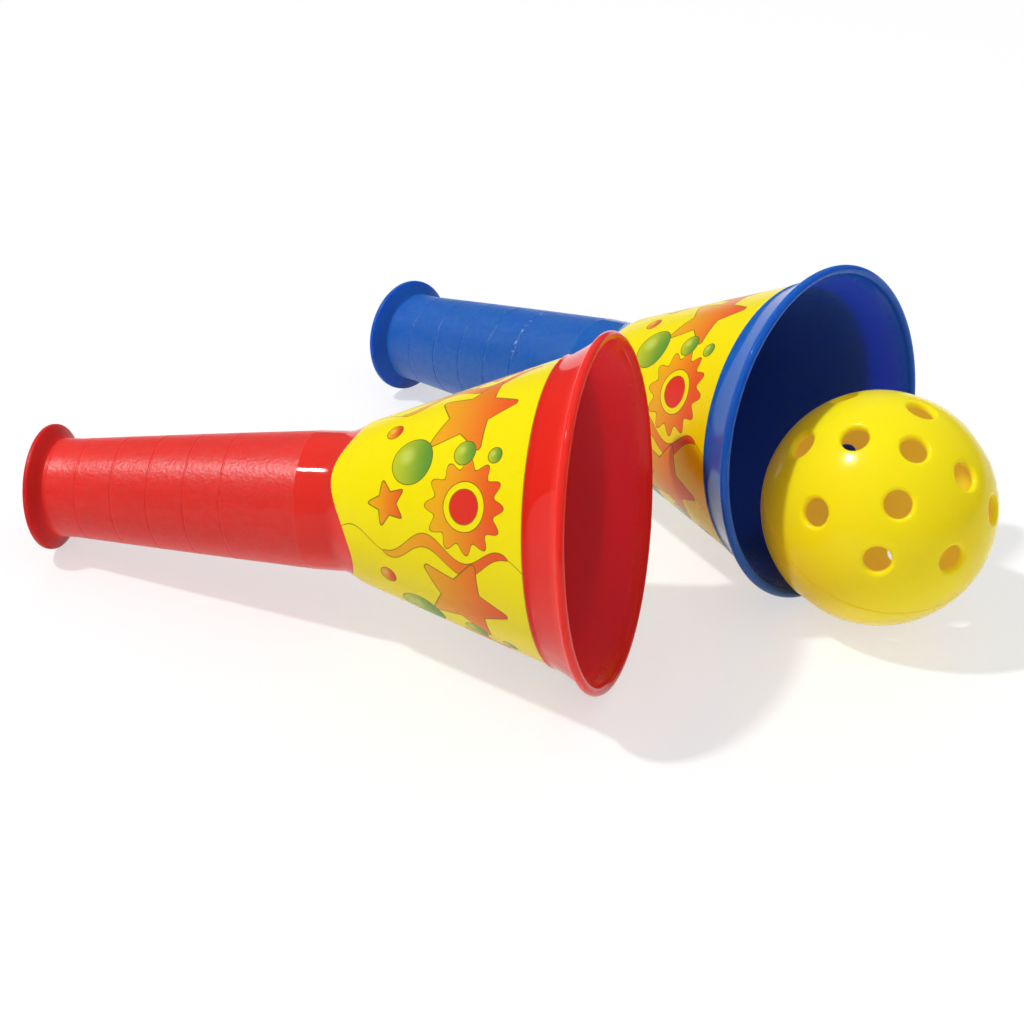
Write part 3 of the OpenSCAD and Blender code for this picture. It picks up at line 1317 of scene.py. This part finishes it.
@dataclass
class Catcher:
    """One horn-shaped catcher and the label on its cone.

    Attributes:
        side: Which of the two it is.
        at: Place of its ring on the floor, in mm.
        heading: Turn of its axis from X, in degrees.
        plastic: Finish of the moulding.
        film: Finish of the label.
        sizes: Its sizes.
    """

    side: Side
    at: Point
    heading: float
    plastic: MouldedPlastic
    film: PrintedFilm
    sizes: HornSizes = field(default_factory=HornSizes)

    def lying(self) -> Matrix:
        """Where the catcher lies.

        Returns:
            The move from its own frame, in which its axis is Z.
        """
        lean, height = self.sizes.rest()
        move = Matrix.Translation(Vector((self.at[0], self.at[1], height)) * MM)
        turn = Matrix.Rotation(math.radians(self.heading), 4, "Z")
        return move @ turn @ Matrix.Rotation(math.radians(90 - lean), 4, "Y")

    def _wrap(self, piece: bpy.types.Object, along: Callable[[float, bool], float]) -> None:
        """Gives a piece the Wrap map: u is the turn about the axis.

        Args:
            piece: The piece, still in the catcher's own frame.
            along: Gives v from a point's station in mm and whether its face looks outwards.
        """
        full = 2 * math.pi
        mesh = piece.data
        layer = mesh.uv_layers.new(name="Wrap")
        for face in mesh.polygons:
            middle = math.atan2(face.center.y, face.center.x) % full
            outwards = face.normal.x * face.center.x + face.normal.y * face.center.y >= 0
            for index in face.loop_indices:
                point = mesh.vertices[mesh.loops[index].vertex_index].co
                turn = math.atan2(point.y, point.x) % full
                if turn - middle > math.pi:
                    turn -= full
                elif middle - turn > math.pi:
                    turn += full
                layer.data[index].uv = (turn / full, along(point.z / MM, outwards))

    def moulding(self) -> bpy.types.Object:
        """Models the horn in one turned wall.

        Returns:
            The piece, in the catcher's own frame.
        """
        piece = Bench.turn_wall(f"{self.side.value}_horn", self.sizes.section(), self.sizes.sides)
        length = self.sizes.length
        self._wrap(piece, lambda station, outwards: station / length if outwards else 2 - station / length)
        Bench.smooth(piece)
        return piece

    def _wave_cutter(self) -> bpy.types.Object:
        """Models the cutter for the label's wavy edge: a block swept about the axis that rises and falls.

        Returns:
            The cutter, in the catcher's own frame.
        """
        sizes = self.sizes
        steps = 96
        under, inner, width = 6.0, 8.0, 30.0
        opening = math.radians(0.8)
        foot = (sizes.label_start - under) * MM
        step_turn = (2 * math.pi - opening) / steps

        def rise(step: int) -> float:
            """Height of the cutter over its foot at a step of the sweep."""
            angle = step_turn * step - math.radians(sizes.wave_turn)
            return under + sizes.wave_depth * (1 + math.cos(sizes.wave_count * angle)) / 2

        Bench.pick()
        bpy.ops.mesh.primitive_plane_add(size=1, location=(0, 0, 0), rotation=(math.pi / 2, 0, 0))
        cutter = bpy.context.object
        bpy.ops.object.transform_apply(location=True, rotation=True, scale=True)
        bpy.ops.object.mode_set(mode="EDIT")
        bpy.ops.mesh.select_all(action="SELECT")
        bpy.ops.transform.translate(value=(0.5, 0, 0.5))
        bpy.ops.transform.resize(value=(width * MM, 1, rise(0) * MM), center_override=(0, 0, 0))
        bpy.ops.transform.translate(value=(inner * MM, 0, foot))
        bpy.ops.transform.rotate(value=-opening / 2, orient_axis="Z", center_override=(0, 0, 0))
        for step in range(1, steps + 1):
            bpy.ops.mesh.extrude_region_move(TRANSFORM_OT_translate={"value": (0, 0, 0)})
            bpy.ops.transform.rotate(value=-step_turn, orient_axis="Z", center_override=(0, 0, 0))
            grow = rise(step) / rise(step - 1)
            bpy.ops.transform.resize(value=(1, 1, grow), center_override=(0, 0, foot))
        bpy.ops.mesh.select_all(action="SELECT")
        bpy.ops.mesh.normals_make_consistent(inside=False)
        bpy.ops.object.mode_set(mode="OBJECT")
        return cutter

    def label(self) -> bpy.types.Object:
        """Models the printed film.

        Returns:
            The piece, in the catcher's own frame.
        """
        sizes = self.sizes
        spare = 1.0
        under = [p for p in sizes.shoulder_side() if p[1] > sizes.label_start - spare]
        under += sizes.along_cone(1, 5, 5)
        inner = [(radius + sizes.film_lift, station) for radius, station in under]
        outer = [(radius + sizes.film, station) for radius, station in under[::-1]]
        piece = Bench.turn_wall(f"{self.side.value}_film", inner + outer, sizes.sides)
        Bench.cut(piece, self._wave_cutter())
        slit_middle, slit_size = Vector((30.0, 0.0, 130.0)) * MM, Vector((50.0, sizes.gap, 80.0)) * MM
        Bench.pick()
        bpy.ops.mesh.primitive_cube_add(size=1, location=slit_middle, scale=slit_size)
        slit = bpy.context.object
        bpy.ops.object.transform_apply(location=True, rotation=True, scale=True)
        Bench.cut(piece, slit)
        length = sizes.cone_end - sizes.label_start
        self._wrap(piece, lambda station, outwards: (station - sizes.label_start) / length)
        Bench.smooth(piece)
        return piece

    def build(self, effects: Effects) -> list[bpy.types.Object]:
        """Models, places and dresses the catcher.

        Args:
            effects: The shared node groups.

        Returns:
            Its pieces.
        """
        body = f"{self.side.value}_catcher"
        horn, film = self.moulding(), self.label()
        for piece, finish, node, slot in (
            (horn, self.plastic, body, f"{self.side.value}_plastic"),
            (film, self.film, f"{self.side.value}_label", "label_film"),
        ):
            Bench.place(piece, self.lying())
            dress(piece, finish.build(effects, self.sizes))
            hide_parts(node)
            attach(piece, body)
        return [horn, film]


# The ball


@dataclass
class PerforatedBall:
    """A thin ball of two half shells, with a middle hole and two rings of holes in each.

    Attributes:
        radius: Radius of the ball, in mm.
        wall: Thickness of the shell.
        hole: Radius of a hole.
        edge: Radius of a hole's rounded edge.
        inner_ring: Angle from the middle hole to the inner ring of holes.
        outer_ring: Angle from the middle hole to the outer ring of holes.
        inner_count: Holes in the inner ring; the outer one has twice as many.
        seam: Width of the groove along the weld seam.
        weld: Distance from the face of each half to the plane of the weld.
        sides: Sides of each circle in the shell's mesh.
        hole_sides: Sides of each hole.
        at: Place of the ball on the floor, in mm.
        lean: Lean of the middle hole from straight up.
        lean_heading: Direction of that lean.
        spin: Turn about the middle hole.
        half_turn: Turn of the back half against the front half.
        plastic: Finish of the shell.
    """

    radius: float = 36.0
    wall: float = 2.0
    hole: float = 4.2
    edge: float = 1.2
    inner_ring: float = 29.0
    outer_ring: float = 58.0
    inner_count: int = 4
    seam: float = 0.5
    weld: float = 0.01
    sides: int = 144
    hole_sides: int = 64
    at: Point = (96.2, 36.8)
    lean: float = 31.0
    lean_heading: float = -51.8
    spin: float = -112.0
    half_turn: float = 24.0
    plastic: BallPlastic = field(default_factory=lambda: BallPlastic("yellow ball plastic"))

    @property
    def edge_centre(self) -> Point:
        """Centre of a hole's rounded edge, seen along the shell with the hole up."""
        out = self.hole + self.edge
        return out, math.sqrt((self.radius - self.edge) ** 2 - out * out)

    def hole_axes(self) -> list[Vector]:
        """Directions of the holes of one half.

        Returns:
            The directions, the middle one first.
        """
        axes = [Vector((0, 0, 1))]
        for count, ring in ((self.inner_count, self.inner_ring), (2 * self.inner_count, self.outer_ring)):
            tilt = Matrix.Rotation(math.radians(ring), 3, "Y")
            axes += [Matrix.Rotation(2 * math.pi * k / count, 3, "Z") @ tilt @ axes[0] for k in range(count)]
        return axes

    def _hole_cutter(self) -> bpy.types.Object:
        """Models the cutter for one hole that points up: a bore that opens along a rounded edge.

        Returns:
            The cutter.
        """
        flare, spread, clear = 2.5, math.radians(15), 2.0
        rim = arc(self.edge_centre, self.edge, start=180, stop=84, steps=12)
        out = (rim[-1][0] + flare * math.cos(spread), rim[-1][1] + flare * math.sin(spread))
        rings = [(self.hole, self.radius - 3 * self.wall)] + rim + [out, (out[0], self.radius + clear)]
        return Bench.draw_round("hole_cutter", rings, self.hole_sides, "NGON")

    def _half_shell(self) -> bpy.types.Object:
        """Models one half with its middle hole up and its seam face down.

        Returns:
            The half shell, with all its holes.
        """
        inner = self.radius - self.wall
        inner_foot = 1.5
        top = math.degrees(math.acos(self.hole / inner))
        centre = self.edge_centre
        meet = math.degrees(math.atan2(centre[1], centre[0]))
        cut = self.seam / 2
        low = math.degrees(math.asin(cut / self.radius))
        section = [(inner, self.weld)] + arc((0, 0), inner, start=inner_foot, stop=top, steps=44)
        section += arc(centre, self.edge, start=180, stop=meet, steps=12)
        section += arc((0, 0), self.radius, start=meet, stop=low, steps=56)
        section += [(self.radius - cut, self.weld)]
        shell = Bench.turn_wall("ball_half", section, self.sides)
        cutter = self._hole_cutter()
        cutters = []
        for index, axis in enumerate(self.hole_axes()[1:]):
            copy = Bench.twin(cutter, f"hole_cutter_{index}")
            Bench.place(copy, axis.to_track_quat("Z", "Y").to_matrix().to_4x4())
            cutters.append(copy)
        bpy.data.objects.remove(cutter)
        Bench.cut(shell, Bench.join(cutters))
        return shell

    def _polish(self, shell: bpy.types.Object) -> None:
        """Sets the shell's normals from its true round forms, so the cut leaves no facets in its gloss.

        Args:
            shell: A half shell with its middle hole up.
        """
        least_fit, off_shell, off_hole, tiny = 0.8, 0.06, 0.05, 1e-6
        mesh = shell.data
        mesh.polygons.foreach_set("use_smooth", [True] * len(mesh.polygons))
        co = np.empty(len(mesh.vertices) * 3)
        mesh.vertices.foreach_get("co", co)
        vertex = np.empty(len(mesh.loops), np.int64)
        mesh.loops.foreach_get("vertex_index", vertex)
        total = np.empty(len(mesh.polygons), np.int64)
        mesh.polygons.foreach_get("loop_total", total)
        flat = np.empty(len(mesh.polygons) * 3)
        mesh.polygons.foreach_get("normal", flat)
        face = np.repeat(flat.reshape(-1, 3), total, axis=0)
        point = co.reshape(-1, 3)[vertex] / MM
        far = np.linalg.norm(point, axis=1)
        best, chosen = np.full(len(point), least_fit), face.copy()

        def offer(normal: np.ndarray, valid: np.ndarray) -> None:
            """Takes a form's normal where it fits a face better than what is chosen.

            Args:
                normal: Normals of the form, one a corner.
                valid: Where the corner lies on the form.
            """
            fits = np.where(valid, (normal * face).sum(axis=1), -1.0)
            better = fits > best
            best[better] = fits[better]
            chosen[better] = normal[better]

        radial = point / far[:, None]
        offer(radial, np.abs(far - self.radius) < off_shell)
        offer(-radial, np.abs(far - self.radius + self.wall) < off_shell)
        centre = self.edge_centre
        for axis in self.hole_axes():
            up = np.array(axis)
            height = point @ up
            aside = point - height[:, None] * up
            span = np.maximum(np.linalg.norm(aside, axis=1), tiny)
            aside /= span[:, None]
            near = (height > 0) & (span < self.hole + 2 * self.edge)
            offer(-aside, near & (np.abs(span - self.hole) < off_hole))
            round_edge = (span - centre[0])[:, None] * aside + (height - centre[1])[:, None] * up
            depth = np.maximum(np.linalg.norm(round_edge, axis=1), tiny)
            offer(round_edge / depth[:, None], near & (np.abs(depth - self.edge) < off_hole))
        mesh.normals_split_custom_set(chosen.tolist())

    def build(self, effects: Effects) -> list[bpy.types.Object]:
        """Models, places and dresses both halves.

        Args:
            effects: The shared node groups.

        Returns:
            The two halves.
        """
        finish = self.plastic.build(effects, (*self.at, self.radius), self.radius - self.wall)
        front = self._half_shell()
        front.name = "ball_front_shell"
        back = Bench.twin(front, "ball_back_shell")
        lying = (
            Matrix.Translation(Vector((*self.at, self.radius)) * MM)
            @ Matrix.Rotation(math.radians(self.lean_heading), 4, "Z")
            @ Matrix.Rotation(math.radians(self.lean), 4, "Y")
            @ Matrix.Rotation(math.radians(self.spin), 4, "Z")
        )
        turn_over = Matrix.Rotation(math.radians(self.half_turn), 4, "Z") @ Matrix.Rotation(math.pi, 4, "X")
        for piece, place, node in (
            (front, lying, "ball_front_half"),
            (back, lying @ turn_over, "ball_back_half"),
        ):
            self._polish(piece)
            Bench.place(piece, place)
            dress(piece, finish)
            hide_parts(node)
            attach(piece, "ball")
        return [front, back]


# The studio


def seen_ray(nodes: Nodes) -> bpy.types.NodeSocket:
    """Tells the rays that show a thing, directly or by reflection, from those that only light.

    Args:
        nodes: The helper of the material or world.

    Returns:
        1 for camera, glossy and transmission rays, else 0.
    """
    path = nodes.add("ShaderNodeLightPath")
    direct = nodes.math("MAXIMUM", path.outputs["Is Camera Ray"], path.outputs["Is Glossy Ray"])
    return nodes.math("MAXIMUM", direct, path.outputs["Is Transmission Ray"])


@dataclass
class Studio:
    """Camera, lights, floor and surroundings.

    Attributes:
        eye: Place of the camera, in mm.
        azimuth: Direction it looks in, from X, in degrees.
        down: How far it looks down, in degrees.
        roll: Its roll, in degrees.
        lens: Focal length, in mm.
        sensor: Width of the sensor, in mm.
        sun_from: Direction that the key light comes from.
        sun_strength: Strength of the key light.
        sun_size: Apparent size of the key light, in degrees.
        fill: Soft light from the horizon and from overhead.
        backdrop: What a reflection shows at the horizon and overhead.
        floor_whites: White of the floor as it lights the toy, and its darker white as it is seen.
        floor_glow: Glow of the floor as it is seen, which makes up for the darker white.
        floor_size: Width of the floor, in m.
    """

    eye: tuple[float, float, float] = (277.46, -607.33, 397.50)
    azimuth: float = 115.282
    down: float = 29.721
    roll: float = 6.097
    lens: float = 86.694
    sensor: float = 36.0
    sun_from: tuple[float, float, float] = (-0.484, -0.318, 0.815)
    sun_strength: float = 2.05
    sun_size: float = 3.5
    fill: tuple[Colour, Colour] = ((0.42, 0.42, 0.43), (0.48, 0.48, 0.49))
    backdrop: tuple[Colour, Colour] = ((0.12, 0.12, 0.13), (0.24, 0.24, 0.26))
    floor_whites: tuple[Colour, Colour] = ((0.94, 0.94, 0.94), (0.44, 0.44, 0.44))
    floor_glow: float = 0.6
    floor_size: float = 30.0

    def camera(self) -> None:
        """Sets the camera at the photograph's angle."""
        Bench.pick()
        bpy.ops.object.camera_add(location=Vector(self.eye) * MM)
        camera = bpy.context.object
        camera.name = "photo_camera"
        turn = Matrix.Rotation(math.radians(self.azimuth - 90), 4, "Z")
        pitch = Matrix.Rotation(math.radians(90 - self.down), 4, "X")
        roll = Matrix.Rotation(math.radians(self.roll), 4, "Z")
        camera.matrix_world = Matrix.Translation(Vector(self.eye) * MM) @ turn @ pitch @ roll
        camera.data.lens = self.lens
        camera.data.sensor_width = self.sensor
        camera.data.clip_start, camera.data.clip_end = 0.01, 50.0
        bpy.context.scene.camera = camera

    def lights(self) -> None:
        """Sets the key light and the soft surroundings."""
        Bench.pick()
        bpy.ops.object.light_add(type="SUN", location=(0, 0, 1))
        sun = bpy.context.object
        sun.name = "key_light"
        sun.rotation_euler = Vector(self.sun_from).to_track_quat("Z", "Y").to_euler()
        sun.data.energy = self.sun_strength
        sun.data.angle = math.radians(self.sun_size)
        world = bpy.data.worlds.new("studio")
        world.use_nodes = True
        world.node_tree.nodes.clear()
        nodes = Nodes(world.node_tree)
        direction = nodes.split(nodes.add("ShaderNodeTexCoord").outputs["Generated"])
        overhead = nodes.between(direction[2], 0.0, 0.8)
        fill, backdrop = nodes.blend(overhead, *self.fill), nodes.blend(overhead, *self.backdrop)
        colour = nodes.blend(seen_ray(nodes), fill, backdrop)
        background = nodes.fill(nodes.add("ShaderNodeBackground"), Color=colour)
        nodes.fill(nodes.add("ShaderNodeOutputWorld"), Surface=background.outputs[0])
        bpy.context.scene.world = world

    def floor(self) -> None:
        """Lays the plain white floor, which keeps the toy's shadow."""
        Bench.pick()
        bpy.ops.mesh.primitive_plane_add(size=self.floor_size, location=(0, 0, 0))
        floor = bpy.context.object
        floor.name = "studio_floor"
        nodes, shader = new_material("white floor")
        output = next(n for n in nodes.tree.nodes if n.type == "OUTPUT_MATERIAL")
        seen = seen_ray(nodes)
        nodes.fill(shader, Base_Color=nodes.blend(seen, *self.floor_whites))
        nodes.fill(shader, Roughness=0.25, Specular_IOR_Level=0.3)
        glow = nodes.add("ShaderNodeEmission")
        nodes.fill(glow, Color=(1.0, 1.0, 1.0, 1.0), Strength=nodes.product(seen, self.floor_glow))
        both = nodes.add("ShaderNodeAddShader")
        for socket, part in zip(both.inputs, (shader, glow)):
            nodes.feed(socket, part.outputs[0])
        nodes.fill(output, Surface=both.outputs[0])
        dress(floor, nodes)

    def build(self) -> None:
        """Sets up the whole studio."""
        self.camera()
        self.lights()
        self.floor()
        bpy.context.scene.view_settings.view_transform = "Standard"


# The set


def main() -> None:
    """Builds the toy and its studio."""
    logging.basicConfig(level=logging.INFO, format="%(name)s: %(message)s")
    Studio().build()
    effects = Effects()
    red = Catcher(
        Side.RED,
        (-126.8, -80.3),
        12.5,
        MouldedPlastic(
            "red moulded plastic",
            colour=(0.9, 0.038, 0.026),
            deep=(0.74, 0.02, 0.016),
            scuffed=(0.95, 0.3, 0.25),
            scuffs=0.1,
            ring_shade=(0.58, 0.018, 0.015),
            brim=(0.76, 0.022, 0.012),
            inner=(1.0, 0.036, 0.055),
            reach=(1.0, 0.1, 0.06),
        ),
        PrintedFilm("printed film of the red catcher"),
    )
    blue = Catcher(
        Side.BLUE,
        (-95.2, 80.2),
        -12.5,
        MouldedPlastic(
            "blue moulded plastic",
            colour=(0.014, 0.13, 0.49),
            deep=(0.01, 0.1, 0.4),
            scuffed=(0.55, 0.66, 0.85),
            scuffs=0.6,
            ring_shade=(0.008, 0.11, 0.44),
            brim=(0.008, 0.125, 0.5),
            inner=(0.04, 0.11, 0.56),
            reach=(0.05, 0.25, 1.3),
        ),
        PrintedFilm("printed film of the blue catcher"),
    )
    pieces = red.build(effects) + blue.build(effects) + PerforatedBall().build(effects)
    for piece in pieces:
        log.info("%s: %d faces", piece.name, len(piece.data.polygons))


if __name__ == "__main__":
    main()
